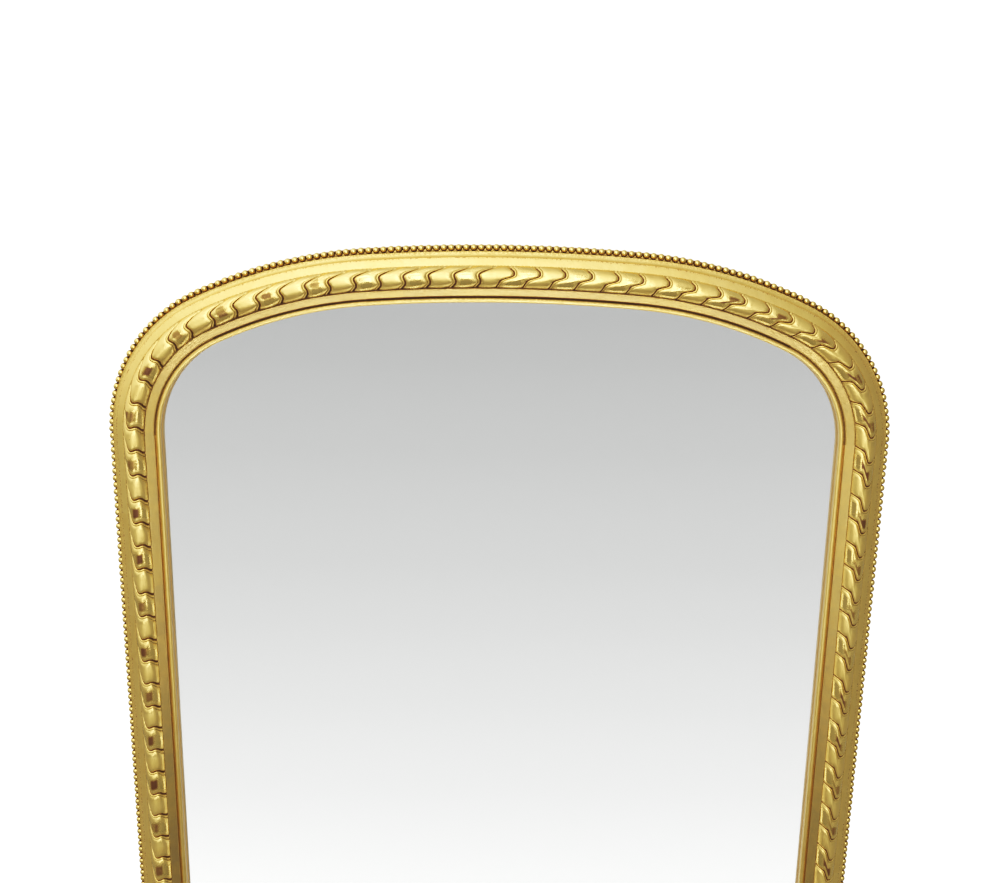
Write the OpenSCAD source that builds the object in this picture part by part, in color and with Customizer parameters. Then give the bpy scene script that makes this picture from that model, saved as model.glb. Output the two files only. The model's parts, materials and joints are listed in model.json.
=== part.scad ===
// Arch-topped gilt overmantel mirror. A pine back frame carries three planted mouldings and a row of
// composition beads. The silvered plate lies in the rebate under the sight moulding, held by glued blocks,
// behind plank backboards. The front faces -Y, the back of the frame is the plane y = 0, and z = 0 is the
// underside of the bottom rail. The origin is at that rail's back edge, half way along it.
// Everything is drawn as seen from the front and then stood up. In a section, t is the distance in from the
// outermost reach of the beads, and h is the height over the back of the frame.

/* [Overall] */
// Width across the bead rows
overall_w = 1200; // [1000:10:1400]
// Height from the shelf to the top of the bead row
overall_h = 1650; // [1300:10:2000]
// How far the bottom rail stands below its own beads
base_lip = 1; // [0.5:0.5:3]

/* [Arch] */
// Radius of the shoulder, where the side turns into the top
shoulder_r = 240; // [180:5:280]
// Turn of the shoulder, in degrees
shoulder_turn = 65; // [60:1:70]
// Radius of the haunch, between the shoulder and the crown
haunch_r = 735; // [600:5:800]
// Turn of each half of the crown, in degrees
crown_turn = 4.3; // [3:0.1:8]

/* [Beads] */
// Diameter of a bead
bead_d = 10.4; // [8:0.1:11]
// Gap between two beads, before it is evened out along each run
bead_gap = 0.8; // [0.4:0.1:3]
// Thickness of the composition between a bead and the frame
bead_backing = 0.3; // [0.2:0.1:0.6]
// Distance of the composition strip's faces behind the bead centres
bead_strip_set = 1; // [0.5:0.1:2]
// How far the beads stand out past the side of the frame
bead_overhang = 2; // [1:0.5:4]
// Height of the bead centres over the back of the frame
bead_centre_h = 16; // [13:0.5:16]

/* [Back frame] */
// Thickness of the pine back frame
frame_thick = 22; // [21:0.5:23]
// Width of the step that the mirror plate lies in
rebate_w = 10; // [8:0.5:12]
// Width of the step that the backboards lie in
board_step_w = 9; // [6:0.5:12]
// Depth of that step, measured from the back
board_step_d = 9; // [8.5:0.5:10.5]
// Radius of the joint dowels
dowel_r = 4; // [3:0.5:4.5]
// Length of the joint dowels
dowel_l = 50; // [30:2:60]
// Length of the dowels across the bottom mitres
mitre_dowel_l = 30; // [20:1:34]
// Distance of the outer dowel of each joint from the bead reach
dowel_first_t = 24; // [22:1:26]
// Spacing of the two dowels of a joint
dowel_spacing = 26; // [20:1:30]

/* [Outer moulding] */
// Width of the hollow beside the beads
cove_w = 8; // [6:0.5:9]
// Width of the flat band between the hollow and the twist
band_w = 12; // [9:0.5:16]
// Rise of the band from its outer to its inner edge
band_rise = 6; // [3:0.5:8]
// Height of the moulded face at the foot of the twist
face_h = 43; // [41:0.5:46]

/* [Twist] */
// Width of the twisted round
twist_w = 32.7; // [28:0.1:38]
// Rise of the round over the face
twist_rise = 13; // [10:0.5:14]
// How far the round overlaps the mouldings beside it
twist_lap = 2.2; // [1.5:0.1:3]
// Spacing of the carved lines, before it is evened out along each run
twist_pitch = 38.2; // [34:0.2:44]
// How far a carved line sweeps along the round from edge to edge
carve_sweep = 23.7; // [16:0.1:28]
// How far the hooked end of a carved line bows back
carve_hook = 7.6; // [4:0.1:9]
// Width of a carved line
carve_w = 2.6; // [1.6:0.1:3.2]
// Depth of a carved line
carve_depth = 1.8; // [1:0.1:2.2]
// Height of the round's foot that the carved lines leave whole
carve_foot = 0.6; // [0.3:0.1:1.5]

/* [Sight moulding] */
// Width of the slope beside the twist
slope_w = 12.5; // [9:0.5:16]
// Fall of the slope towards the plate
slope_fall = 5.5; // [4:0.5:6]
// Width of the quirk between the slope and the sight bead
quirk_w = 1; // [0.5:0.1:1.5]
// Depth of the quirk
quirk_d = 3; // [2:0.5:3.5]
// Width of the sight bead
sight_bead_w = 8; // [7:0.5:9]
// How far the sight bead stands in past its lip
lip_set = 0.5; // [0.3:0.1:1]
// Height of the lip's underside, where the plate rests
lip_h = 28.5; // [28:0.5:29.5]

/* [Mirror plate] */
// Thickness of the glass
glass_thick = 5; // [4:0.5:6]
// Thickness of the silvering with its backing paint
silver_thick = 0.3; // [0.3:0.1:0.5]
// Gap between the edge of the glass and the rebate
glass_gap = 1.5; // [1:0.5:2.5]
// Length of a setting block under the glass
setting_block_l = 60; // [40:5:100]
// Distance of the setting blocks from the middle
setting_block_x = 300; // [200:10:350]
// Length of a glued block behind the plate
glued_block_l = 45; // [30:5:60]
// Width of a glued block, along the plate
glued_block_w = 9; // [7:0.5:10]
// Height of a glued block, off the plate
glued_block_h = 11; // [8:0.5:12]

/* [Backboards] */
// Thickness of a backboard
board_thick = 8; // [6:0.5:8]
// Gap between two backboards
board_gap = 1; // [0.5:0.5:3]
// Gap between the backboards and the frame
board_edge_gap = 0.5; // [0.5:0.5:2]
// Radius of a nail's shank
nail_r = 1; // [0.8:0.1:1.2]
// Radius of a nail's head
nail_head_r = 2.2; // [1.8:0.1:2.6]
// Thickness of a nail's head
nail_head_h = 0.8; // [0.5:0.1:1]
// Length of a nail under its head
nail_l = 16; // [14:1:18]

/* [Hangers] */
// Distance of the rings' axis below the spring of the arch
hanger_drop = 120; // [60:10:300]
// Width of a hanger strap
strap_w = 20; // [16:1:22]
// Thickness of a hanger strap
strap_thick = 1.6; // [1.2:0.1:2]
// Distance of the first screw below the rings' axis
first_screw_drop = 18; // [14:1:24]
// Spacing of the three screws of a hanger
screw_spacing = 22; // [20:1:24]
// Length of strap past the last screw
strap_end_l = 10; // [8:1:14]
// Radius of the hanger screws' shank
screw_r = 2; // [1.6:0.1:2.2]
// Radius of the hanger screws' head
screw_head_r = 3.6; // [3.4:0.1:3.9]
// Length of the hanger screws in the wood
screw_l = 16; // [14:1:18]
// Radius of the ring's wire
ring_wire_r = 2; // [1.6:0.1:2.2]
// Gap between the strap's eye and the ring's legs
ring_side_gap = 1; // [0.5:0.5:2]
// Length of the ring's straight legs
ring_leg_l = 10; // [8:1:20]

/* [Hidden] */
$fn = 48;
board_count = 6;
running_fit = 0.05; // clearance of a pin in its bore
glue_fit = 0.1;     // clearance of a dowel, nail or screw in its hole
over = 1;           // how far a cutter reaches past what it cuts
far = 4000;         // farther than any part of the frame
long_arc_fn = 256;

// Distances in from the reach of the beads
half_w = overall_w / 2;
side_t = bead_overhang;
bead_t = bead_d / 2;
bead_wall_t = bead_d + bead_backing;
band_t = bead_wall_t + cove_w;
twist_t = band_t + band_w;
twist_mid_t = twist_t + twist_w / 2;
slope_t = twist_t + twist_w;
quirk_t = slope_t + slope_w;
sight_t = quirk_t + quirk_w + sight_bead_w;
rebate_t = sight_t - rebate_w;
board_step_t = rebate_t - board_step_w;
glass_t = rebate_t + glass_gap;
board_t = board_step_t + board_edge_gap;

// Heights over the back of the frame
bead_ledge_h = bead_centre_h - bead_d / 2 - bead_backing;
band_h = face_h - band_rise;
slope_end_h = face_h - slope_fall;
sight_bead_r = sight_bead_w / 2;
sight_bead_h = slope_end_h - sight_bead_r;
glass_back_h = lip_h - glass_thick;
silver_back_h = glass_back_h - silver_thick;
board_back_h = board_step_d - board_thick;
twist_r = (pow(twist_w / 2, 2) + pow(twist_rise, 2)) / (2 * twist_rise);
twist_axis_h = face_h + twist_rise - twist_r;
twist_top_h = face_h + twist_rise;

// The arch: three arcs for each half, tangent to each other, with the crown's centre on the middle line.
// base_y is the lowest reach of the beads, and spring_y is where the sides turn into the arch.
crown_start = 90 - crown_turn;
shoulder_c = [half_w - shoulder_r, 0];
haunch_c = shoulder_c + (shoulder_r - haunch_r) * [cos(shoulder_turn), sin(shoulder_turn)];
crown_r = haunch_r + haunch_c.x / cos(crown_start);
crown_c = haunch_c + (haunch_r - crown_r) * [cos(crown_start), sin(crown_start)];
spring_y = overall_h - crown_c.y - crown_r;
base_y = base_lip;
shoulder_arc = [shoulder_c, shoulder_r, 0, shoulder_turn];
haunch_arc = [haunch_c, haunch_r, shoulder_turn, crown_start];
crown_arc = [crown_c, crown_r, crown_start, 180 - crown_start];

// The right half of the outline as one line, t in from the beads' reach. s is 0 at the spring of the arch,
// grows round the arch to the crown and is negative down the side.
function arc_len(r, degrees) = r * degrees * PI / 180;
function arc_turn(length, r) = length / r * 180 / PI;
function arch_len(t) = arc_len(shoulder_r - t, shoulder_turn)
    + arc_len(haunch_r - t, crown_start - shoulder_turn) + arc_len(crown_r - t, crown_turn);
function side_len(t) = spring_y - base_y - t;
function on_arc(c, r, angle) = [0, spring_y] + c + r * [cos(angle), sin(angle)];
function arch_at(angle, t) =
    angle <= shoulder_turn ? on_arc(shoulder_c, shoulder_r - t, angle)
    : angle <= crown_start ? on_arc(haunch_c, haunch_r - t, angle)
    : on_arc(crown_c, crown_r - t, angle);
function arch_angle(s, t) =
    let (
        past_shoulder = s - arc_len(shoulder_r - t, shoulder_turn),
        past_haunch = past_shoulder - arc_len(haunch_r - t, crown_start - shoulder_turn)
    )
    past_shoulder <= 0 ? arc_turn(s, shoulder_r - t)
    : past_haunch <= 0 ? shoulder_turn + arc_turn(past_shoulder, haunch_r - t)
    : crown_start + arc_turn(past_haunch, crown_r - t);
// The point t in from the beads' reach that is square to the line's point s, measured along the line at ref_t
function line_point(s, t, ref_t) =
    s <= 0 ? [half_w - t, spring_y + s] : arch_at(arch_angle(s, ref_t), t);

// Stands up what was drawn as seen from the front, mirrored where it is for the left side
module stood(left = false) {
    rotate([90, 0, 0])
        if (left) mirror([1, 0, 0]) children();
        else children();
}

module both_sides() {
    children();
    mirror([1, 0, 0]) children();
}

// A section is swept up the side, round the arch or along the bottom
module along_side(from_y, to_y) {
    translate([half_w, from_y, 0])
        mirror([1, 0, 0]) rotate([90, 0, 0]) mirror([0, 0, 1]) linear_extrude(to_y - from_y) children();
}

module along_bottom(half_l) {
    translate([-half_l, base_y, 0]) rotate([90, 0, 90]) linear_extrude(2 * half_l) children();
}

module round_arc(arc, past = 0) {
    translate([arc[0].x, spring_y + arc[0].y, 0])
        rotate([0, 0, arc[2] - past])
            rotate_extrude(angle = arc[3] - arc[2] + 2 * past, $fn = long_arc_fn)
                translate([arc[1], 0]) mirror([1, 0]) children();
}

// The side and the bottom, cut to each other at the mitre of the corner
module mitred_side() {
    intersection() {
        along_side(base_y - over, spring_y) children();
        translate([0, 0, -over]) linear_extrude(twist_top_h + 2 * over)
            polygon([[half_w + over, base_y - over], [half_w + over, far], [0, far], [0, base_y + half_w]]);
    }
}

module mitred_bottom() {
    end_x = half_w - side_t;
    intersection() {
        along_bottom(half_w) children();
        translate([0, 0, -over]) linear_extrude(twist_top_h + 2 * over) polygon([
            [-end_x, -base_lip], [end_x, -base_lip], [end_x, base_y + side_t],
            [0, base_y + half_w], [-end_x, base_y + side_t]
        ]);
    }
}

// The runs that a moulding is made in. The crown is one length across the middle.
module run(place) {
    if (place == "side") mitred_side() children();
    if (place == "shoulder") round_arc(shoulder_arc) children();
    if (place == "haunch") round_arc(haunch_arc) children();
    if (place == "crown") round_arc(crown_arc) children();
    if (place == "bottom") mitred_bottom() children();
}

// Back frame of pine, doweled end to end
module frame_section(outer_t) {
    polygon([
        [outer_t, 0], [board_step_t, 0], [board_step_t, board_step_d], [rebate_t, board_step_d],
        [rebate_t, frame_thick], [bead_wall_t, frame_thick],
        [bead_wall_t, bead_ledge_h], [outer_t, bead_ledge_h]
    ]);
}

// A joint of the frame: where its dowels' middle lies, the direction of the cut, and the dowels' length
dowel_mid_t = dowel_first_t + dowel_spacing / 2;
dowel_h = (board_step_d + frame_thick) / 2;
spring_joint = [arch_at(0, dowel_mid_t), 0, dowel_l];
shoulder_joint = [arch_at(shoulder_turn, dowel_mid_t), shoulder_turn, dowel_l];
haunch_joint = [arch_at(crown_start, dowel_mid_t), crown_start, dowel_l];
corner_joint = [[half_w - dowel_mid_t, base_y + dowel_mid_t], -45, mitre_dowel_l];

module dowels_at(joint, fit) {
    for (side = [-1, 1])
        translate([joint[0].x, joint[0].y, dowel_h])
            rotate([0, 0, joint[1]]) translate([side * dowel_spacing / 2, 0, 0])
                rotate([90, 0, 0]) cylinder(r = dowel_r + fit, h = joint[2] + 2 * fit, center = true);
}

module stile(left = false) {
    color("burlywood") stood(left) difference() {
        mitred_side() frame_section(side_t);
        dowels_at(spring_joint, glue_fit);
        dowels_at(corner_joint, glue_fit);
        at_screws() screw_hole();
        at_side_nails() nail_hole();
    }
}

module shoulder(left = false) {
    color("burlywood") stood(left) difference() {
        round_arc(shoulder_arc) frame_section(side_t);
        dowels_at(spring_joint, glue_fit);
        dowels_at(shoulder_joint, glue_fit);
        at_arch_nails() nail_hole();
    }
}

module haunch(left = false) {
    color("burlywood") stood(left) difference() {
        round_arc(haunch_arc) frame_section(side_t);
        dowels_at(shoulder_joint, glue_fit);
        dowels_at(haunch_joint, glue_fit);
        at_arch_nails() nail_hole();
    }
}

module crown_rail() {
    color("burlywood") stood() difference() {
        round_arc(crown_arc) frame_section(side_t);
        both_sides() {
            dowels_at(haunch_joint, glue_fit);
            at_arch_nails() nail_hole();
        }
    }
}

module bottom_rail() {
    color("burlywood") stood() difference() {
        mitred_bottom() frame_section(-base_lip);
        both_sides() dowels_at(corner_joint, glue_fit);
        at_bottom_nails() nail_hole();
    }
}

module joint_dowels() {
    color("tan") stood() both_sides() {
        dowels_at(spring_joint, 0);
        dowels_at(shoulder_joint, 0);
        dowels_at(haunch_joint, 0);
        dowels_at(corner_joint, 0);
    }
}

// Outer moulding: a hollow and a flat band that climb from the beads to the twist
module outer_moulding_section() {
    stem_t = twist_t + twist_lap;
    difference() {
        polygon([
            [bead_wall_t, frame_thick], [stem_t, frame_thick], [stem_t, face_h], [twist_t, face_h],
            [band_t, band_h], [bead_wall_t, band_h]
        ]);
        translate([bead_wall_t, band_h]) circle(r = cove_w);
    }
}

module outer_moulding(place, left = false) {
    color("gold") stood(left) run(place) outer_moulding_section();
}

// Twist: a stem between the other two mouldings, and a round on it that is carved with leaning lines
module twist_section() {
    translate([twist_t + twist_lap, frame_thick])
        square([twist_w - 2 * twist_lap, face_h - frame_thick]);
    round_section(twist_r, face_h);
}

module round_section(r, from_h) {
    intersection() {
        translate([twist_mid_t, twist_axis_h]) circle(r = r);
        translate([twist_t - over, from_h]) square([twist_w + 2 * over, twist_w]);
    }
}

module uncarved_section() {
    round_section(twist_r - carve_depth, twist_axis_h);
    translate([twist_t - over, face_h - 2 * over]) square([twist_w + 2 * over, 2 * over + carve_foot]);
}

// A carved line crosses the round from its hooked end, v = 0, to its swept end, v = 1
carve_steps = 7;
carve_past = 0.06;
function carve_lean(v) = carve_sweep * v * v - carve_hook * sin(180 * v);
function carve_slope(v) = 2 * carve_sweep * v - carve_hook * PI * cos(180 * v);
function carve_v(i) = -carve_past + (1 + 2 * carve_past) * i / carve_steps;
// A point beside the line as [along, t], for a line that is hooked at the twist's outer or inner edge
function carve_point(v, beside, hook_inside) =
    let (
        unit = [twist_w, -carve_slope(v)] / norm([twist_w, carve_slope(v)]),
        across = v * twist_w + beside * unit.y
    )
    [carve_lean(v) + beside * unit.x, hook_inside ? slope_t - across : twist_t + across];
function carve_outline(hook_inside) = concat(
    [for (i = [0 : carve_steps]) carve_point(carve_v(i), carve_w / 2, hook_inside)],
    [for (i = [carve_steps : -1 : 0]) carve_point(carve_v(i), -carve_w / 2, hook_inside)]
);

module carve(points) {
    translate([0, 0, face_h - over]) linear_extrude(twist_rise + 2 * over) polygon(points);
}

// The lines are evenly spaced from the crown down to the corner, and from the middle of the bottom to it
crown_s = arch_len(twist_mid_t);
half_run = crown_s + side_len(twist_mid_t);
line_count = round(half_run / twist_pitch);
line_step = half_run / line_count;
bottom_run = half_w - twist_mid_t;
bottom_line_count = round(bottom_run / twist_pitch);
bottom_line_step = bottom_run / bottom_line_count;
line_start = 0.6; // share of a step from the crown to the first line's hooked end
function line_s(i) = crown_s - (i + line_start) * line_step;

haunch_s = arc_len(shoulder_r - twist_mid_t, shoulder_turn);
half_crown_s = haunch_s + arc_len(haunch_r - twist_mid_t, crown_start - shoulder_turn);

module carved_lines(from_s, to_s, hook_inside) {
    for (i = [0 : line_count - 1])
        if (line_s(i) > from_s - twist_pitch && line_s(i) < to_s + twist_pitch)
            carve([for (p = carve_outline(hook_inside)) line_point(line_s(i) + p.x, p.y, twist_mid_t)]);
}

module bottom_carved_lines(hook_inside) {
    for (i = [0 : bottom_line_count - 1])
        translate([(i + 1 - line_start) * bottom_line_step, base_y]) carve(carve_outline(hook_inside));
}

module carving(place, left) {
    past_turn = 1;
    difference() {
        union() {
            if (place == "side") carved_lines(-side_len(0), 0, left);
            if (place == "shoulder") carved_lines(0, haunch_s, left);
            if (place == "haunch") carved_lines(haunch_s, half_crown_s, left);
            if (place == "crown") carved_lines(half_crown_s, crown_s, false);
            if (place == "crown") mirror([1, 0, 0]) carved_lines(half_crown_s, crown_s, true);
            if (place == "bottom") bottom_carved_lines(false);
            if (place == "bottom") mirror([1, 0, 0]) bottom_carved_lines(true);
        }
        if (place == "side") along_side(-over, spring_y + twist_pitch) uncarved_section();
        if (place == "shoulder") round_arc(shoulder_arc, past_turn) uncarved_section();
        if (place == "haunch") round_arc(haunch_arc, past_turn) uncarved_section();
        if (place == "crown") round_arc(crown_arc, past_turn) uncarved_section();
        if (place == "bottom") along_bottom(half_w) uncarved_section();
    }
}

module twist(place, left = false) {
    color("goldenrod") stood(left) difference() {
        run(place) twist_section();
        carving(place, left);
    }
}

// Sight moulding: the slope, the quirk and the small bead round the plate, with the plate's step under them
module sight_moulding_section() {
    stem_t = slope_t - twist_lap;
    bead_mid_t = sight_t - sight_bead_r;
    lip_t = sight_t - lip_set;
    quirk_h = slope_end_h - quirk_d;
    polygon([
        [stem_t, frame_thick], [rebate_t, frame_thick], [rebate_t, lip_h], [lip_t, lip_h],
        [lip_t, sight_bead_h], [bead_mid_t, sight_bead_h], [bead_mid_t, quirk_h],
        [quirk_t, quirk_h], [quirk_t, slope_end_h], [slope_t, face_h], [stem_t, face_h]
    ]);
    translate([bead_mid_t, sight_bead_h]) circle(r = sight_bead_r);
}

module sight_moulding(place, left = false) {
    color("gold") stood(left) run(place) sight_moulding_section();
}

// Beads: a composition strip that fills the corner behind them, with the beads cast on it
module bead_strip_section() {
    strip_t = bead_t + bead_strip_set;
    translate([strip_t, bead_ledge_h])
        square([bead_wall_t - strip_t, bead_centre_h - bead_strip_set - bead_ledge_h]);
}

module bead_at(p, angle = 0) {
    translate([p.x, p.y, bead_centre_h]) rotate([0, 0, angle]) sphere(d = bead_d);
}

// Half a step is left at each joint, and the corner beads belong to the bottom run
function bead_count(length) = round(length / (bead_d + bead_gap));
side_bead_count = bead_count(side_len(bead_t));
side_bead_step = side_len(bead_t) / (side_bead_count + 0.5);
bottom_bead_count = bead_count(overall_w - bead_d);
bottom_bead_step = (overall_w - bead_d) / bottom_bead_count;

module beads_side(left = false) {
    color("gold") stood(left) {
        along_side(base_y + bead_wall_t, spring_y) bead_strip_section();
        for (i = [1 : side_bead_count]) bead_at([half_w - bead_t, base_y + bead_t + i * side_bead_step]);
    }
}

module beads_on_arc(arc, left = false) {
    turn = arc[3] - arc[2];
    count = bead_count(arc_len(arc[1] - bead_t, turn));
    color("gold") stood(left) {
        round_arc(arc) bead_strip_section();
        for (i = [0 : count - 1]) {
            angle = arc[2] + turn * (i + 0.5) / count;
            bead_at(on_arc(arc[0], arc[1] - bead_t, angle), angle);
        }
    }
}

module beads_bottom() {
    color("gold") stood() {
        along_bottom(half_w - bead_t) bead_strip_section();
        for (i = [0 : bottom_bead_count]) bead_at([bead_t - half_w + i * bottom_bead_step, base_y + bead_t]);
    }
}

// A flat sheet with the outline of the mirror, t in from the beads' reach
module arched_sheet(t, from_h, to_h) {
    bottom_y = base_y + t;
    translate([0, 0, from_h]) linear_extrude(to_h - from_h) {
        translate([t - half_w, bottom_y]) square([overall_w - 2 * t, spring_y - bottom_y]);
        both_sides() {
            arch_sector(shoulder_c, shoulder_r - t, 0, shoulder_turn);
            arch_sector(haunch_c, haunch_r - t, shoulder_turn, crown_start);
            arch_sector(crown_c, crown_r - t, crown_start, 90);
        }
    }
}

// The part of an arc's sector that lies above the spring of the arch
module arch_sector(c, r, from_angle, to_angle) {
    function at_spring(angle) = c - c.y / sin(angle) * [cos(angle), sin(angle)];
    function beyond(angle) = c + 2 * r * [cos(angle), sin(angle)];
    translate([0, spring_y]) intersection() {
        translate(c) circle(r = r, $fn = long_arc_fn);
        polygon(concat(
            from_angle > 0 ? [at_spring(from_angle)] : [c],
            [beyond(from_angle), beyond(to_angle)],
            from_angle > 0 ? [at_spring(to_angle)] : []
        ));
    }
}

module mirror_glass() {
    color("lightcyan") stood() arched_sheet(glass_t, glass_back_h, lip_h);
}

module silvering() {
    color("silver") stood() arched_sheet(glass_t, silver_back_h, glass_back_h);
}

module setting_blocks() {
    color("peru") stood() for (side = [-1, 1])
        translate([side * setting_block_x - setting_block_l / 2, base_y + rebate_t, glass_back_h])
            cube([setting_block_l, glass_gap, glass_thick]);
}

// Glued blocks: three-cornered lengths of pine in the angle between the rebate and the back of the plate
module glued_block() {
    rotate([90, 0, 90]) linear_extrude(glued_block_l, center = true)
        polygon([[0, silver_back_h], [glued_block_w, silver_back_h], [0, silver_back_h - glued_block_h]]);
}

// Round the arch a block touches the hollow of the rebate with its two ends
module arch_glued_block(angle, r) {
    hollow_r = r - rebate_t;
    stand_off = hollow_r - sqrt(pow(hollow_r, 2) - pow(glued_block_l / 2, 2)) + glue_fit;
    translate(arch_at(angle, rebate_t + stand_off)) rotate([0, 0, angle + 90]) glued_block();
}

module glued_blocks() {
    bottom_shares = [-0.75, -0.1, 0.1, 0.75];
    side_shares = [0.12, 0.37, 0.62, 0.87];
    color("wheat") stood() {
        for (share = bottom_shares)
            translate([share * (half_w - rebate_t), base_y + rebate_t, 0]) glued_block();
        both_sides() {
            for (share = side_shares)
                translate([half_w - rebate_t, base_y + rebate_t + share * side_len(rebate_t), 0])
                    rotate([0, 0, 90]) glued_block();
            arch_glued_block(shoulder_turn / 2, shoulder_r);
            arch_glued_block((shoulder_turn + crown_start) / 2, haunch_r);
        }
    }
}

// Backboards: upright planks in the step round the back, nailed through into the frame
board_span = overall_w - 2 * board_t;
board_w = (board_span - (board_count - 1) * board_gap) / board_count;
board_step = board_w + board_gap;

module backboard(number) {
    color("sandybrown") stood() difference() {
        intersection() {
            arched_sheet(board_t, board_back_h, board_step_d);
            translate([-board_span / 2 + (number - 1) * board_step, 0, 0])
                cube([board_w, overall_h, board_step_d + over]);
        }
        at_nails() nail_hole();
    }
}

nail_t = board_step_t + board_step_w / 2;

module at_nail(p) {
    translate([p.x, p.y, board_back_h]) children();
}

module at_bottom_nails() {
    for (i = [0 : board_count - 1], side = [-1, 1])
        at_nail([(i - (board_count - 1) / 2) * board_step + side * board_w / 4, base_y + nail_t]) children();
}

module at_side_nails() {
    for (share = [0.2, 0.5, 0.8])
        at_nail([half_w - nail_t, base_y + nail_t + share * side_len(nail_t)]) children();
}

module at_arch_nails() {
    for (share = [0.12, 0.3, 0.5, 0.68, 0.86])
        at_nail(line_point(share * arch_len(nail_t), nail_t, nail_t)) children();
}

module at_nails() {
    at_bottom_nails() children();
    both_sides() {
        at_side_nails() children();
        at_arch_nails() children();
    }
}

module nail_hole() {
    translate([0, 0, -board_step_d]) cylinder(r = nail_r + glue_fit, h = board_step_d + nail_l + glue_fit);
}

module backboard_nails() {
    color("dimgray") stood() at_nails() {
        cylinder(r = nail_r, h = nail_l);
        translate([0, 0, -nail_head_h]) cylinder(r = nail_head_r, h = nail_head_h);
    }
}

// Hangers: a strap with its top end rolled into an eye, and a ring that swings in the eye. The eye is set
// back a little from the frame, which leaves the hanging ring clear of the strap.
eye_set_back = 0.3;
eye_bore_r = ring_wire_r + running_fit;
eye_r = eye_bore_r + strap_thick;
ring_axis_h = -eye_r - eye_set_back;
ring_bow_r = strap_w / 2 + ring_side_gap + ring_wire_r;
strap_l = first_screw_drop + 2 * screw_spacing + strap_end_l;
hanger_x = half_w - (side_t + board_step_t) / 2;

module at_hanger() {
    translate([hanger_x, spring_y - hanger_drop, 0]) children();
}

module at_screws() {
    at_hanger() for (i = [0 : 2]) translate([0, -first_screw_drop - i * screw_spacing, 0]) children();
}

module screw_hole() {
    translate([0, 0, -over]) cylinder(r = screw_r + glue_fit, h = over + screw_l + glue_fit);
}

module ring_bar(r, length) {
    translate([0, 0, ring_axis_h]) rotate([0, 90, 0]) cylinder(r = r, h = length, center = true);
}

module hanger_strap(left = false) {
    color("darkkhaki") stood(left) difference() {
        at_hanger() union() {
            translate([-strap_w / 2, -strap_l, -strap_thick]) cube([strap_w, strap_l, strap_thick]);
            ring_bar(eye_r, strap_w);
        }
        at_hanger() ring_bar(eye_bore_r, strap_w + 2 * over);
        at_screws() screw_body(glue_fit);
    }
}

module screw_body(fit) {
    translate([0, 0, -strap_thick]) cylinder(r1 = screw_head_r + fit, r2 = screw_r + fit, h = strap_thick);
    cylinder(r = screw_r + fit, h = screw_l);
}

module hanging_ring(left = false) {
    color("darkgoldenrod") stood(left) at_hanger() {
        ring_bar(ring_wire_r, 2 * ring_bow_r);
        translate([0, 0, ring_axis_h]) {
            for (side = [-1, 1]) translate([side * ring_bow_r, 0, 0]) {
                sphere(r = ring_wire_r);
                rotate([90, 0, 0]) cylinder(r = ring_wire_r, h = ring_leg_l);
            }
            translate([0, -ring_leg_l, 0]) rotate([0, 0, 180])
                rotate_extrude(angle = 180) translate([ring_bow_r, 0]) circle(r = ring_wire_r);
        }
    }
}

module hanger_screws() {
    color("darkgray") stood() both_sides() at_screws() screw_body(0);
}

stile(left = true);  // left_stile
shoulder(left = true);  // left_shoulder
haunch(left = true);  // left_haunch
crown_rail();
haunch();  // right_haunch
shoulder();  // right_shoulder
stile();  // right_stile
bottom_rail();
joint_dowels();
outer_moulding("side", left = true);  // outer_moulding_left_side
outer_moulding("shoulder", left = true);  // outer_moulding_left_shoulder
outer_moulding("haunch", left = true);  // outer_moulding_left_haunch
outer_moulding("crown");  // outer_moulding_crown
outer_moulding("haunch");  // outer_moulding_right_haunch
outer_moulding("shoulder");  // outer_moulding_right_shoulder
outer_moulding("side");  // outer_moulding_right_side
outer_moulding("bottom");  // outer_moulding_bottom
twist("side", left = true);  // twist_left_side
twist("shoulder", left = true);  // twist_left_shoulder
twist("haunch", left = true);  // twist_left_haunch
twist("crown");  // twist_crown
twist("haunch");  // twist_right_haunch
twist("shoulder");  // twist_right_shoulder
twist("side");  // twist_right_side
twist("bottom");  // twist_bottom
sight_moulding("side", left = true);  // sight_moulding_left_side
sight_moulding("shoulder", left = true);  // sight_moulding_left_shoulder
sight_moulding("haunch", left = true);  // sight_moulding_left_haunch
sight_moulding("crown");  // sight_moulding_crown
sight_moulding("haunch");  // sight_moulding_right_haunch
sight_moulding("shoulder");  // sight_moulding_right_shoulder
sight_moulding("side");  // sight_moulding_right_side
sight_moulding("bottom");  // sight_moulding_bottom
beads_side(left = true);  // beads_left_side
beads_on_arc(shoulder_arc, left = true);  // beads_left_shoulder
beads_on_arc(haunch_arc, left = true);  // beads_left_haunch
beads_on_arc(crown_arc);  // beads_crown
beads_on_arc(haunch_arc);  // beads_right_haunch
beads_on_arc(shoulder_arc);  // beads_right_shoulder
beads_side();  // beads_right_side
beads_bottom();
mirror_glass();
silvering();
setting_blocks();
glued_blocks();
backboard(1);  // backboard_1
backboard(2);  // backboard_2
backboard(3);  // backboard_3
backboard(4);  // backboard_4
backboard(5);  // backboard_5
backboard(6);  // backboard_6
backboard_nails();
hanger_strap(left = true);  // left_hanger_strap
hanger_strap();  // right_hanger_strap
hanging_ring(left = true);  // left_hanging_ring
hanging_ring();  // right_hanging_ring
hanger_screws();
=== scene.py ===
import json
import math

import bmesh
import bpy
import numpy as np
from mathutils import Matrix, Vector

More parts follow.
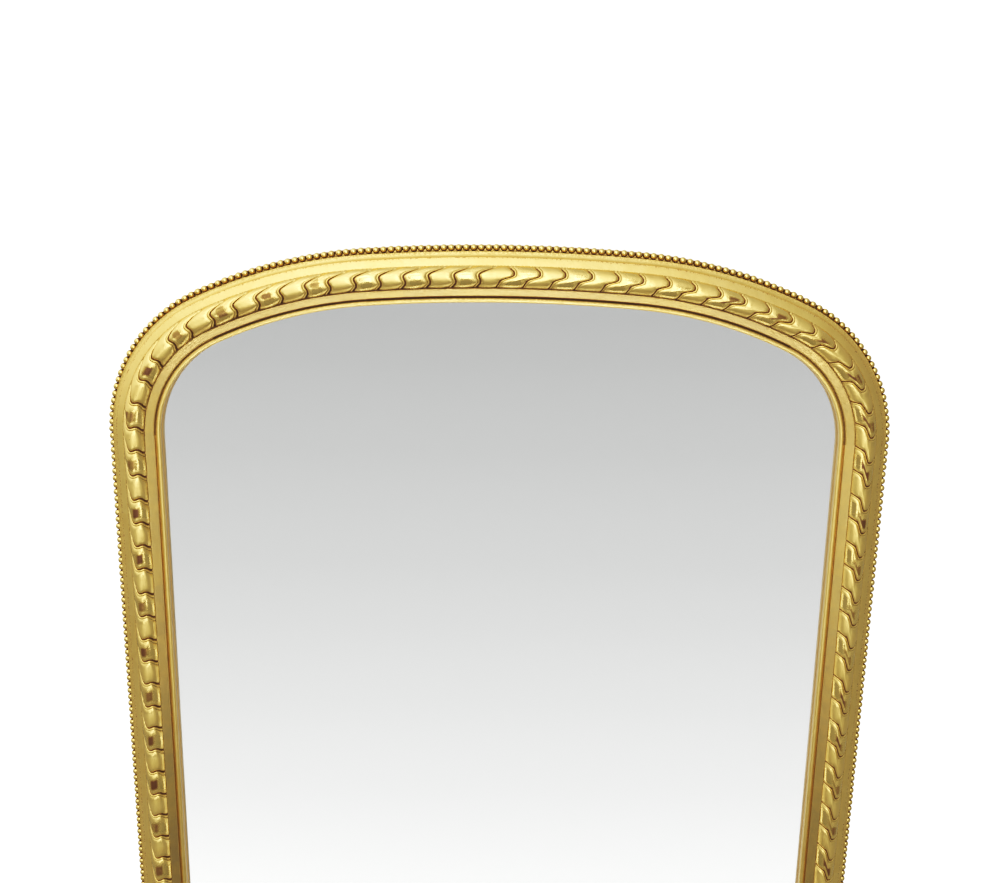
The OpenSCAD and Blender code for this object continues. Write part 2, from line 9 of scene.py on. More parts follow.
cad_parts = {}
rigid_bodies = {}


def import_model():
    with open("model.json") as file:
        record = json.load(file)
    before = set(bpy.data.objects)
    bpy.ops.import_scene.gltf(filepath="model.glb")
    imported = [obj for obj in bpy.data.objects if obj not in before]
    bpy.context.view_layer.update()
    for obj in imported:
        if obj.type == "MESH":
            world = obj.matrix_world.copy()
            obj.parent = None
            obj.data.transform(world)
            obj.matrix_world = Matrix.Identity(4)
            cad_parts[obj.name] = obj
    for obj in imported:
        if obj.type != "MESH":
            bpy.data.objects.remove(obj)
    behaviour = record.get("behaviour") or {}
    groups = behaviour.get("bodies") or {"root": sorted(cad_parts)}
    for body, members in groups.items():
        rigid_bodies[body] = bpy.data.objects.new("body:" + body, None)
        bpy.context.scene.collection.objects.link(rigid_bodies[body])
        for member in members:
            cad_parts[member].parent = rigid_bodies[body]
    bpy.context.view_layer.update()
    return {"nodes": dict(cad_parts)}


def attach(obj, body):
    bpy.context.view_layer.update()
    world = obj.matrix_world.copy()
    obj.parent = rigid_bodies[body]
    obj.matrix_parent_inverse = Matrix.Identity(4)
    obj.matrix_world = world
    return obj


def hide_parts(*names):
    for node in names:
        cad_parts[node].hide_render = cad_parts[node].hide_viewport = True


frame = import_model()
scene = bpy.context.scene

# Back frame
# Eight lengths of pine, doweled end to end, with a step for the plate and one for the backboards. The wood is bare
# behind and brushed with yellow ochre round the outside edge, where the brush went a little way onto the back.

# Sizes are in millimetres: t is the distance in from the reach of the beads, h the height over the back
mm = 0.001
half_w = 600
total_h = 1650
bead_foot = 1
shoulder_r, shoulder_turn = 240, 65
haunch_r = 735
crown_turn = 4.3
crown_start = 90 - crown_turn
side_t = 2
bead_wall_t = 10.7
board_step_t = 65.9
rebate_t = 74.9
bead_ledge_h = 10.5
board_step_h = 9
frame_thick = 22


def polar(r, degrees):
    return np.array([r * math.cos(math.radians(degrees)), r * math.sin(math.radians(degrees))])


shoulder_c = np.array([half_w - shoulder_r, 0])
haunch_c = shoulder_c + polar(shoulder_r - haunch_r, shoulder_turn)
crown_r = haunch_r + haunch_c[0] / math.cos(math.radians(crown_start))
crown_c = haunch_c + polar(haunch_r - crown_r, crown_start)
spring_z = total_h - crown_c[1] - crown_r
arcs = {
    "shoulder": (shoulder_c, shoulder_r, 0, shoulder_turn),
    "haunch": (haunch_c, haunch_r, shoulder_turn, crown_start),
    "crown": (crown_c, crown_r, crown_start, 180 - crown_start),
}
down_from_crown = ("crown", "haunch", "shoulder", "side")
runs = [("left_" + place, place, True) for place in down_from_crown[:0:-1]] + [("crown", "crown", False)]
runs += [("right_" + place, place, False) for place in down_from_crown[1:]] + [("bottom", "bottom", False)]


def on_run(place, share, t):
    """x and z of what lies a share of the way along a run and t in from the beads' reach, on the right side."""
    if place == "side":
        return half_w - t + 0 * share, spring_z - share * (spring_z - bead_foot - t)
    if place == "bottom":
        return (2 * share - 1) * (half_w - np.maximum(t, side_t)), bead_foot + t + 0 * share
    centre, r, start, end = arcs[place]
    angle = np.radians(start + share * (end - start))
    return centre[0] + (r - t) * np.cos(angle), spring_z + centre[1] + (r - t) * np.sin(angle)


def run_length(place, t):
    if place == "side":
        return spring_z - bead_foot - t
    if place == "bottom":
        return 2 * (half_w - t)
    return (arcs[place][1] - t) * math.radians(arcs[place][3] - arcs[place][2])


def eased(corners, steps=3, least_cut=0.02, straight=1.55, most_of_side=0.45):
    """A section's corners (t, h, radius, ...), with each corner worked round to its radius. What follows is kept."""
    made = []
    for i, (t, h, r, *rest) in enumerate(corners):
        here = np.array([t, h], float)
        back, on = (np.array(corners[j % len(corners)][:2], float) - here for j in (i - 1, i + 1))
        back_l, on_l = np.linalg.norm(back), np.linalg.norm(on)
        half = math.acos(max(-1, min(1, back @ on / back_l / on_l))) / 2
        cut = min(r / math.tan(half), most_of_side * back_l, most_of_side * on_l)
        if cut < least_cut or half > straight:
            made.append((t, h, *rest))
            continue
        a, b = here + back / back_l * cut, here + on / on_l * cut
        for u in np.arange(steps + 1) / steps:
            made.append((*((1 - u) ** 2 * a + 2 * u * (1 - u) * here + u * u * b), *rest))
    return np.array(made)


def clipped(share):
    return np.clip(share, 0, 1)


def stand_up(x, h, z):
    return np.stack([x, -h, z], -1).reshape(-1, 3) * mm


def new_object(name, data):
    made = bpy.data.objects.new(name, data)
    scene.collection.objects.link(made)
    return made


def finish_piece(name, mesh, material, nodes, sharp=38, body="frame"):
    """Shades a mesh, gives it its material and hangs it on the CAD body, in place of its nodes."""
    mesh.materials.append(material)
    mesh.shade_smooth()
    mesh.set_sharp_from_angle(angle=math.radians(sharp))
    piece = new_object(name, mesh)
    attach(piece, body)
    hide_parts(*nodes)


def saw_off(shape, point, way, **settings):
    bmesh.ops.bisect_plane(shape, geom=shape.verts[:] + shape.edges[:] + shape.faces[:], plane_co=point, plane_no=way,
                           **settings)


def mesh_of(name, points, faces, values=None, trim=()):
    """A mesh with a named value for every point, sawn off and closed at planes of (point, way to keep)."""
    mesh = bpy.data.meshes.new(name)
    mesh.from_pydata(points.tolist(), [], faces)
    for key, numbers in (values or {}).items():
        numbers = np.asarray(numbers, np.float32)
        wide = numbers.ndim > 1
        layer = mesh.attributes.new(key, "FLOAT_VECTOR" if wide else "FLOAT", "POINT")
        layer.data.foreach_set("vector" if wide else "value", numbers.ravel())
    shell = bmesh.new()
    shell.from_mesh(mesh)
    for point, keep in trim:
        saw_off(shell, point, keep, dist=1e-7, clear_inner=True)
        bmesh.ops.holes_fill(shell, edges=[e for e in shell.edges if e.is_boundary and all(
            abs((v.co - point).dot(keep)) < 1e-6 for v in e.verts)], sides=0)
    bmesh.ops.recalc_face_normals(shell, faces=shell.faces)
    shell.to_mesh(mesh)
    shell.free()
    return mesh


def tube_faces(stations, around):
    """Faces between the stations of a swept section, and the two ends."""
    i, j = np.meshgrid(np.arange(stations - 1), np.arange(around), indexing="ij")
    nxt = (j + 1) % around
    quads = np.stack([i * around + j, i * around + nxt, (i + 1) * around + nxt, (i + 1) * around + j], -1)
    last = (stations - 1) * around
    return quads.reshape(-1, 4).tolist() + [list(range(around)), list(range(last, last + around))]


def half_length(place, t):
    """A run's length on one side of the crown's middle."""
    return run_length(place, t) * (0.5 if place == "crown" else 1)


def run_along(place, left, share, t):
    """Distance along the frame's line, from the middle of the crown or of the bottom, at a share of a run."""
    if place in ("crown", "bottom"):
        return (share - 0.5) * run_length(place, t)
    start = sum(half_length(p, t) for p in down_from_crown[:down_from_crown.index(place)])
    way = share if place == "side" else 1 - share
    return (-1 if left else 1) * (start + way * run_length(place, t))


def swept(place, left, section, step, line_t=40):
    """A section of (t, h, painted shading, wear) swept along a run, in stations about a step apart, as points and
    values.
    """
    t, h, *worn = section.T
    count = max(3, int(run_length(place, line_t) / step) + 1)
    share = np.linspace(0, 1, count)[:, None]
    x, z = on_run(place, share, t[None])
    fill = np.ones((count, 1))
    values = {"along": (run_along(place, left, share, line_t) + 0 * t) * mm, "across": fill * t * mm}
    values |= {key: fill * value for key, value in zip(("recess", "wear"), worn)}
    return (stand_up(-x if left else x, fill * h, z), tube_faces(count, len(t)),
            {key: value.ravel() for key, value in values.items()})


def join(node, **inputs):
    """Sets a node's inputs, by name or by number, or joins them to other nodes' outputs."""
    for key, value in inputs.items():
        socket = node.inputs[int(key[1:]) if key[0] == "_" else key.replace("_", " ")]
        if isinstance(value, bpy.types.NodeSocket):
            node.id_data.links.new(value, socket)
        else:
            socket.default_value = value
    return node


def put(kind, settings=None, tree=None, **inputs):
    """A shader node with its settings and inputs, in the given tree or in that of the outputs that it takes."""
    tree = tree or next(value.id_data for value in inputs.values() if isinstance(value, bpy.types.NodeSocket))
    node = tree.nodes.new("ShaderNode" + kind)
    for key, value in (settings or {}).items():
        setattr(node, key, value)
    return join(node, **inputs)


def calc(operation, *values, clamp=False, kind="Math", out=0):
    settings = {"operation": operation, "use_clamp": True} if clamp else {"operation": operation}
    return put(kind, settings, **{f"_{i}": value for i, value in enumerate(values)}).outputs[out]


def plus(*values):
    total, *others = values
    for other in others:
        total = calc("ADD", total, other)
    return total


def times(a, b, clamp=False):
    return calc("MULTIPLY", a, b, clamp=clamp)


def vector_calc(operation, *values, out=0):
    return calc(operation, *values, kind="VectorMath", out=out)


def stretched(vector, by):
    return vector_calc("MULTIPLY", vector, by)


def between(value, low, high, from_value=0, to_value=1):
    """Rises smoothly from one value to the other as the input goes from low to high."""
    return put("MapRange", {"interpolation_type": "SMOOTHSTEP"}, Value=value, From_Min=low, From_Max=high,
               To_Min=from_value, To_Max=to_value).outputs[0]


def tint(share, a, b, blend="MIX"):
    return put("Mix", {"data_type": "RGBA", "blend_type": blend}, _0=share, _6=a, _7=b).outputs[2]


def noise(vector, scale, detail=2, rough=0.5, colour=False):
    return put("TexNoise", Vector=vector, Scale=scale, Detail=detail, Roughness=rough).outputs[1 if colour else 0]


def bump(height, distance):
    return put("Bump", Height=height, Distance=distance).outputs[0]


def named(tree, name, out=2):
    return put("Attribute", {"attribute_name": name}, tree).outputs[out]


def object_place(tree):
    return put("TexCoord", tree=tree).outputs["Object"]


def new_group(name, outputs, **inputs):
    """A shader group, its inputs and its end node. The inputs are floats, vectors or colours, as their values are."""
    group = bpy.data.node_groups.new(name, "ShaderNodeTree")
    kinds = {1: "NodeSocketFloat", 3: "NodeSocketVector", 4: "NodeSocketColor"}
    for key, value in inputs.items():
        group.interface.new_socket(key.replace("_", " "), in_out="INPUT",
                                   socket_type=kinds[np.size(value)]).default_value = value
    for key in outputs:
        group.interface.new_socket(key, in_out="OUTPUT", socket_type=kinds[4 if key == "Color" else 1])
    return group, group.nodes.new("NodeGroupInput").outputs, group.nodes.new("NodeGroupOutput")


def use(group, **inputs):
    return put("Group", {"node_tree": group}, **inputs)


def new_material(name):
    material = bpy.data.materials.new(name)
    material.use_nodes = True
    return material, material.node_tree, material.node_tree.nodes["Principled BSDF"]


# Pine: year rings round a heart that lies off the piece, bent by knots, with fine fibres along the grain
pine_grain, pine, pine_out = new_group(
    "pine grain", ("Color", "Roughness", "Height"), Grain=(0, 0, 0), Heart=(0.04, 0.07, 0), Ring=0.0034,
    Early_wood=(0.50, 0.31, 0.145, 1), Late_wood=(0.27, 0.125, 0.045, 1), Age=0.5)
grain = pine["Grain"]
sway = noise(stretched(grain, (3, 3, 0.9)), 1, colour=True)
sway = stretched(vector_calc("SUBTRACT", sway, (0.5, 0.5, 0.5)), (0.055, 0.055, 0))
knot = put("TexVoronoi", Vector=stretched(grain, (5, 5, 2.1)), Scale=1, Randomness=1).outputs[0]
from_heart = vector_calc("ADD", vector_calc("ADD", grain, pine["Heart"]), sway)
ring_r = plus(vector_calc("LENGTH", stretched(from_heart, (1, 1, 0)), out=1), between(knot, 0, 0.24, 0.016, 0))
ring = calc("FRACT", calc("DIVIDE", ring_r, pine["Ring"]))
late = times(calc("POWER", ring, 3), between(ring, 1, 0.93))
fibre = noise(stretched(grain, (1400, 1400, 40)), 1, 2, 0.6)
blotch = noise(stretched(grain, (14, 14, 4)), 1, 3, 0.6)
wood = tint(late, pine["Early wood"], pine["Late wood"])
wood = tint(between(fibre, 0.35, 0.7, 0, 0.35), wood, (0.20, 0.10, 0.04, 1), "MULTIPLY")
wood = tint(between(knot, 0.062, 0.04), wood, (0.085, 0.032, 0.013, 1))
soiled = times(between(blotch, 0.4, 0.75), pine["Age"])
join(pine_out, Color=tint(soiled, wood, (0.30, 0.24, 0.19, 1), "MULTIPLY"),
     Height=plus(times(late, 0.5), times(fibre, 0.5)), Roughness=between(fibre, 0.2, 0.8, 0.62, 0.8))

ochre_pine, tree, shader = new_material("pine with an ochre edge")
lengthwise_grain = named(tree, "grain", 1)
bare = use(pine_grain, Grain=lengthwise_grain).outputs
brush = noise(stretched(lengthwise_grain, (500, 500, 30)), 1, 3)
painted = between(plus(named(tree, "across"), times(brush, -0.009)), 0.0032, 0.0018)
paint = tint(between(brush, 0.3, 0.7), (0.50, 0.29, 0.07, 1), (0.60, 0.37, 0.11, 1))
join(shader, Base_Color=tint(painted, bare["Color"], paint), Roughness=bare["Roughness"],
     Normal=bump(plus(bare["Height"], times(brush, painted)), 0.00022))

rail_names = {"left_side": "left_stile", "right_side": "right_stile", "crown": "crown_rail", "bottom": "bottom_rail"}
for number, (run_name, place, left) in enumerate(runs):
    node = rail_names.get(run_name, run_name)
    outer_t = -bead_foot if place == "bottom" else side_t
    section = eased([
        (outer_t, 0, 1.2), (board_step_t, 0, 0.7), (board_step_t, board_step_h, 0.3),
        (rebate_t, board_step_h, 0.5), (rebate_t, frame_thick, 0.4), (bead_wall_t, frame_thick, 0.3),
        (bead_wall_t, bead_ledge_h, 0.3), (outer_t, bead_ledge_h, 0.9),
    ])
    points, faces, values = swept(place, left, section, 14)
    # The grain runs straight from one end of the length to the other, and each length is cut from another board
    chord = points[-1] - points[0]
    chord[1] = 0
    lengthwise = chord / np.linalg.norm(chord)
    widthwise = np.cross([0, 1, 0], lengthwise)
    values["grain"] = np.stack([points @ widthwise, points[:, 1], points @ lengthwise], -1) + 0.37 * number
    finish_piece("pine_" + node, mesh_of(node, points, faces, values), ochre_pine, [node])

# Joint dowels
# Round pegs of the same pine, two to a joint, glued into both ends. They are inside the wood.


def wood_of(name, turn=(0, 0, 0), **colours):
    """Bare pine for a CAD node, with the grain turned from upright."""
    material, tree, shader = new_material(name)
    place = put("Mapping", Vector=object_place(tree), Rotation=turn).outputs[0]
    bare = use(pine_grain, Grain=place, **colours).outputs
    join(shader, Base_Color=bare["Color"], Roughness=bare["Roughness"], Normal=bump(bare["Height"], 0.0002))
    return material


def dress(node, material):
    """Gives a CAD node that stays as it is its material."""
    mesh = frame["nodes"][node].data
    mesh.materials.clear()
    mesh.materials.append(material)


dress("joint_dowels", wood_of("pine peg", Ring=0.002))

# Outer moulding
# A length of pine with a hollow and a climbing band, planted on the frame. It is covered with gesso, whose edges are
# worked soft, then with red bole and matt gold leaf laid in squares that lap over each other.

band_t, band_h = 18.7, 37
twist_t = 30.7
face_h = 43
twist_lap = 2.2
cove_r = 8

gilding, gilt_in, gilt_out = new_group(
    "gilding", ("Color", "Metallic", "Roughness", "Height"), Along=0, Recess=0, Wear=0, Burnish=0, Sand=0,
    Leaf=(0.945, 0.735, 0.30, 1), Leaf_length=0.079)
place = object_place(gilding)
leaf_no = plus(calc("DIVIDE", gilt_in["Along"], gilt_in["Leaf length"]), times(noise(place, 22), 0.35))
lap = between(calc("FRACT", leaf_no), 0, 0.016, 1, 0)
leaf_tone = put("TexWhiteNoise", {"noise_dimensions": "1D"}, W=calc("FLOOR", leaf_no)).outputs[0]
cloud = noise(place, 60, 3, 0.55)
grit = noise(place, 1500, 2, 0.6)
skin = noise(place, 420, 3, 0.6)
leaf = tint(between(leaf_tone, 0, 1, 0, 0.16), gilt_in["Leaf"], (0.87, 0.61, 0.18, 1))
leaf = tint(between(cloud, 0.35, 0.7, 0, 0.22), leaf, (0.82, 0.57, 0.19, 1))
leaf = tint(between(grit, 0.25, 0.8, 0, 0.12), leaf, (0.70, 0.45, 0.18, 1))
rub = plus(times(gilt_in["Wear"], 0.34), times(lap, 0.10))
fleck = between(noise(place, 260, 1), 0.79, 0.84)
bare_bole = calc("MAXIMUM", between(plus(rub, skin), 0.80, 0.98), times(fleck, 0.7))
# Where the mesh asks for it, the leaf is darkened to olive and then to dark brown, and it loses its metal and grows
# rougher. This is painted shade in hollows, creases and gaps, and painted dark reflections on the burnished rounds,
# mottled by the skin noise.
shade_mottle = between(plus(skin, times(gilt_in["Recess"], 0.5)), 0.35, 0.85)
deep = times(gilt_in["Recess"], shade_mottle, clamp=True)
colour = tint(times(bare_bole, 0.75), leaf, (0.30, 0.095, 0.035, 1))
colour = tint(between(deep, 0, 0.5, 0, 0.8), colour, (0.42, 0.28, 0.085, 1))
colour = tint(between(deep, 0.4, 1, 0, 0.9), colour, (0.15, 0.055, 0.02, 1))
bole_and_shade = calc("MAXIMUM", times(bare_bole, 0.6), times(deep, 0.8))
matt = plus(0.44, times(calc("SUBTRACT", skin, 0.5), 0.22))
polished = plus(0.08, times(cloud, 0.12))
gloss = put("Mix", {"data_type": "FLOAT"}, _0=gilt_in["Burnish"], _2=matt, _3=polished).outputs[0]
sand_grain = times(noise(place, 1100, 1), gilt_in["Sand"])
join(gilt_out, Color=colour, Metallic=calc("SUBTRACT", 1, bole_and_shade, clamp=True),
     Roughness=calc("ADD", gloss, times(bole_and_shade, 0.3), clamp=True),
     Height=plus(cloud, times(skin, 0.27), times(lap, 0.10), times(sand_grain, 0.55)))


def gilt(name, relief=0.00045, coat=0.12, **inputs):
    """Gold leaf as a material, with its shader and the leaf's own node. It takes the painted shading, the worn edges
    and the run of the leaf from the mesh."""
    material, tree, shader = new_material(name)
    given = {value.capitalize(): named(tree, value) for value in ("along", "recess", "wear")}
    leaf = use(gilding, **(given | inputs))
    colour, metallic, roughness, height = leaf.outputs
    join(shader, Base_Color=colour, Metallic=metallic, Roughness=roughness, Normal=bump(height, relief),
         Coat_Weight=coat, Coat_Roughness=0.3)
    return material, shader, leaf


outer_gilt, *_ = gilt("matt gold leaf on the outer moulding")
# The hollow is painted darker at its foot under the beads, and the band darker where it runs in under the twist, as
# painted shade.
cove = [(bead_wall_t + cove_r * math.sin(a), band_h - cove_r * math.cos(a), 0, 0.35 * math.cos(a) ** 3, 0)
        for a in np.radians(np.linspace(0, 84, 10))]
outer_section = eased([
    (bead_wall_t, frame_thick, 0, 0.45, 0), *cove, (band_t, band_h, 0.9, 0, 1),
    (twist_t - 6, face_h - 3.06, 0, 0, 0), (twist_t - 1.2, face_h - 0.75, 0, 0.1, 0),
    (twist_t, face_h - 0.2, 0, 0.45, 0), (twist_t + twist_lap, face_h, 0, 1, 0),
    (twist_t + twist_lap, frame_thick, 0, 1, 0),
])


def plant_lengths(moulding, section_at, material):
    """A moulding's eight lengths, one on each piece of the frame."""
    for run_name, place, left in runs:
        node = moulding + "_" + run_name
        mesh = mesh_of(node, *swept(place, left, section_at(place), 9))
        finish_piece("gilt_" + node, mesh, material, [node])


plant_lengths("outer_moulding", lambda place: outer_section, outer_gilt)

# Twist
# A half round of pine and gesso, carved across with S-shaped lines: each is two grooves with a thin strand between
# them. Between the lines the rounds are gilded in turn matt and burnished with an agate.

twist_w, twist_rise = 32.7, 13
twist_mid_t = twist_t + twist_w / 2
slope_t = twist_t + twist_w
round_r = ((twist_w / 2) ** 2 + twist_rise ** 2) / (2 * twist_rise)
round_axis_h = face_h + twist_rise - round_r
twist_pitch = 38.2
right_first, right_pitch = 13.8, 37.7
left_first, left_pitch, left_growth = 20.8, 36.2, 0.06
# Where a line runs, as marks of (share of the way across, distance along). Those of the right half hook towards the
# outside and sweep up to the crown, those of the left half have their tail along the outside edge.
right_marks = [(-0.1, 3.8), (0, 2), (0.07, 0.2), (0.14, -2.2), (0.22, -3.3), (0.33, -3.4), (0.42, -2.6), (0.48, -0.2),
               (0.53, 4.5), (0.58, 9.5), (0.63, 13.2), (0.7, 15.6), (0.8, 17.8), (0.96, 20.8), (1, 21.6), (1.1, 23.6)]
left_marks = [(-0.1, -9), (0, -5), (0.05, -1), (0.1, 4), (0.15, 9.5), (0.2, 13), (0.26, 16), (0.36, 18.2),
              (0.48, 17.9), (0.58, 16.9), (0.66, 15.8), (0.73, 15.9), (0.8, 17), (0.87, 19.3), (0.95, 21.8), (1, 23.4),
              (1.1, 27.4)]
# How deep the work goes at each distance from the middle of a carved line, counted away from the crown
cut_at, cut_depth = np.transpose([
    (-8.4, 0), (-7.2, 0.08), (-6, 0.3), (-4.9, 0.72), (-3.9, 1.35), (-3.1, 2.1), (-2.4, 2.8), (-1.8, 2.8), (-1.1, 1.5),
    (-0.5, 0.8), (0.2, 0.7), (0.8, 0.95), (1.3, 1.7), (1.7, 1.8), (2.3, 1.3), (3.2, 0.85), (4.5, 0.5), (6, 0.2),
    (7.4, 0.04), (8.4, 0)])
# The deepest parts of each groove are painted dark, as painted shade in the crease.
dark_from, dark_over = 1.15, 0.9
strand_at, lip_off, lip_w = 0.2, 3.6, 1.5
cut_shade = clipped((cut_depth - dark_from) / dark_over)
cut_wear = clipped(1 - np.abs(np.abs(cut_at - strand_at) - lip_off) / lip_w) + 0.6 * (np.abs(cut_at) < 0.6)
cut_reach = cut_at[-1]
round_ease = 0.3
between_cuts = np.linspace(0, 1, 10)[1:-1]
around = np.linspace(-1, 1, 31)


def on_line(d, t, line_t):
    """x and z at t in and a distance d from the crown's middle, to the right where it is positive. The distance is
    measured along the frame's line at line_t."""
    past = np.abs(d) + 0 * t
    spots, reached = [], []
    for place in down_from_crown[:3]:
        spots.append(on_run(place, (0.5 if place == "crown" else 1) - past / run_length(place, line_t), t))
        past = past - half_length(place, line_t)
        reached.append(past <= 0)
    spots.append((half_w - t + 0 * past, spring_z - past))
    x, z = (np.select(reached, spot[:3], spot[3]) for spot in zip(*spots))
    return np.where(d < 0, -x, x), z


def worked_line(marks):
    """A smooth line through marks, as rows of shares across, distances along and slopes."""
    across = np.linspace(-0.1, 1.1, 241)
    knife = np.exp(-0.5 * np.linspace(-3, 3, 31) ** 2)
    along = np.interp(across, *zip(*marks))
    along = np.convolve(np.pad(along, 15, "reflect", reflect_type="odd"), knife / knife.sum(), "valid")
    return across, along, np.gradient(along, across * twist_w)


lines_right, lines_left = worked_line(right_marks), worked_line(left_marks)
bottom_lines = round((half_w - twist_mid_t) / twist_pitch)
bottom_step = (half_w - twist_mid_t) / bottom_lines
bottom_start = 0.6
# By hand each line strays a little in place, reach and depth, and it thins and shallows towards its tail
stray, reach_stray, depth_stray = 0.45, 0.035, 0.10
widest, tail_thins, tail_shallows, left_tail = 1.9, 0.35, 0.3, 0.4


def carved_line(number, across, at_bottom):
    """Where a line lies along the run for each point across the round, how wide it is there, and how deep."""
    right = number >= 0
    order = number if right else -1 - number
    hand = np.random.default_rng(900 + order + (500 if right else 0) + (2000 if at_bottom else 0))
    shift, stretch, depth = hand.normal(0, stray), hand.normal(1, reach_stray), hand.normal(1, depth_stray)
    shares, along, slope = lines_right if right else lines_left
    lean, steep = np.interp(across, shares, along), np.interp(across, shares, slope)
    if at_bottom:
        way = (order + bottom_start) * bottom_step
    elif right:
        way = right_first + order * right_pitch
    else:
        way = left_first + order * left_pitch + left_growth * max(0, order - 10) ** 2
    way = way + shift + stretch * lean * (-1 if right else 1)
    tail = across if right else left_tail * (1 - across)
    wide = np.minimum(np.sqrt(1 + steep ** 2), widest) * (1 - tail_thins * tail ** 2)
    return (way if right else -way), wide, depth * (1 - tail_shallows * tail ** 3)


head_rounds, streak_w, crest_w = 7, 0.1, 0.27
line_gloss, round_wear = 0.3, 0.25


def twist_columns(numbers, across, at_bottom):
    """For each column of points along the twist: distances along, depths, and the values that the gilding takes."""
    columns = []
    lines = {n: carved_line(n, across, at_bottom) for n in numbers}
    for n in numbers:
        way, wide, deep = lines[n]
        sense, shade_fade_w, order = (1, 0.15, n + 1) if n >= 0 else (-1, 0.45, -1 - n)
        # The painted shade in the grooves fades out towards the round's outer foot.
        shade_fade = clipped((1 + around) / shade_fade_w)
        for offset, depth, recess, wear in list(zip(cut_at * sense, cut_depth, cut_shade, cut_wear))[::sense]:
            columns.append((way + offset * wide, round_ease + depth * deep, recess * shade_fade, wear, line_gloss))
        if n + 1 not in lines:
            continue
        start = way + cut_reach * wide
        end = lines[n + 1][0] - cut_reach * lines[n + 1][1]
        burnished = float(order % 2 == 1)
        # A burnished round gets a painted dark reflection across its crest, in streaks along it. The rounds near the
        # crown get the faintest.
        hand = np.random.default_rng(300 + n % 97)
        low, high, broad = (0.1, 0.45, 0.25) if abs(n) < head_rounds else (0.65, 1.0, 0.9)
        dark_reflection = burnished * hand.uniform(low, high)
        reflection_streaks = sum(hand.uniform(0.4, 1.0) * np.exp(-((around - hand.uniform(-0.45, 0.25)) / streak_w) ** 2)
                      for _ in range(2)) + broad * np.exp(-(around / crest_w) ** 2)
        for share in between_cuts:
            ease = round_ease * abs(2 * share - 1) ** 2
            dark = dark_reflection * clipped(2.6 - abs(share - 0.5) * 5.4) * clipped(reflection_streaks)
            columns.append((start + share * (end - start), ease + 0 * across, dark, round_wear, burnished))
    return columns


def cut_planes(place):
    """The planes that bound a run, as a point and the direction to keep, for the right side."""
    mitre = (Vector((half_w, 0, bead_foot)), Vector((1, 0, 1)))
    if place == "side":
        return [(Vector((0, 0, spring_z)), Vector((0, 0, -1))), mitre]
    if place == "bottom":
        return [(mitre[0], Vector((-1, 0, -1))), (Vector((-half_w, 0, bead_foot)), Vector((1, 0, -1)))]
    centre, _, start, end = arcs[place]
    point = Vector((centre[0], 0, spring_z + centre[1]))
    return [(point, Vector((-side * math.sin(a), 0, side * math.cos(a))))
            for a, side in ((math.radians(start), 1), (math.radians(end), -1))]


across_angle = math.acos((face_h - round_axis_h) / round_r) * around
round_t = twist_mid_t + round_r * np.sin(across_angle)
foot_fade = 0.3 + 0.7 * clipped((1 - np.abs(around)) / 0.12)
# The round's feet, where it meets the band and the slope, are painted dark as painted shade, the outer foot less. The
# inner half darkens towards its foot.
foot_shade = clipped(1 - (1 - np.abs(around)) / 0.05) * np.where(around < 0, 0.4, 1)
inner_foot_shade = clipped((around - 0.5) / 0.5) ** 1.3
stem_t, stem_h = np.transpose([(slope_t - twist_lap, face_h), (slope_t - twist_lap, frame_thick),
                               (twist_t + twist_lap, frame_thick), (twist_t + twist_lap, face_h)])
loop_across = np.concatenate([round_t - twist_t, stem_t - twist_t]) / twist_w
line_ends = np.cumsum([0] + [half_length(place, twist_mid_t) for place in down_from_crown])
past_corner, left_widens = 60, 1.2

twist_gilt, _, twist_leaf = gilt("gold leaf on the twist, matt and burnished", relief=0.0006)
join(twist_leaf, Burnish=named(twist_leaf.id_data, "burnished"))

for run_name, place, left in runs:
    node = "twist_" + run_name
    at_bottom = place == "bottom"
    if at_bottom:
        numbers = range(-bottom_lines - 1, bottom_lines + 1)
    elif place == "crown":
        reach = int(line_ends[1] / right_pitch) + 3
        numbers = range(-reach, reach)
    else:
        below = down_from_crown.index(place)
        pitch = left_pitch + left_widens if left else right_pitch
        first = max(0, int(line_ends[below] / pitch) - 3)
        last = int((line_ends[below + 1] + past_corner * (place == "side")) / pitch) + 3
        numbers = range(-1 - last, -first) if left else range(first, last + 1)
    d, depth, recess, wear, burnished = map(np.array, zip(*twist_columns(numbers, loop_across, at_bottom)))
    r = round_r - depth[:, :len(around)] * foot_fade
    stem = np.ones((len(d), len(stem_t)))
    t = np.hstack([twist_mid_t + r * np.sin(across_angle), stem * stem_t])
    h = np.hstack([round_axis_h + r * np.cos(across_angle), stem * stem_h])
    x, z = (d, bead_foot + t) if at_bottom else on_line(d, t, twist_mid_t)
    flip = Vector((-1 if left else 1, 1, 1))
    # Painted shade on the inner foot, which faces down at the head: heaviest there, and light down the sides and along
    # the bottom
    head_shade = np.interp(np.abs(d).mean(1), (400, 900), (0.15, 0.15) if at_bottom else (0.95, 0.15))[:, None]
    recess = np.maximum(recess, np.maximum(foot_shade, inner_foot_shade * head_shade))
    mesh = mesh_of(node, stand_up(x, h, z), tube_faces(*d.shape)[:-2], {
        "along": (d * mm).ravel(), "recess": np.hstack([recess, stem]).ravel(),
        "wear": np.hstack([wear[:, None] * (1 - foot_shade), 0 * stem]).ravel(),
        "burnished": np.repeat(burnished, d.shape[1]),
    }, [(point * flip * mm, keep * flip) for point, keep in cut_planes(place)])
    finish_piece("gilt_" + node, mesh, twist_gilt, [node], sharp=55)

# Sight moulding
# A slope that falls to the plate, a narrow quirk and the small sight bead, with the step for the plate under them.
# The slope is gilded matt over slightly sandy gesso, and the leaf laps show across the bead.

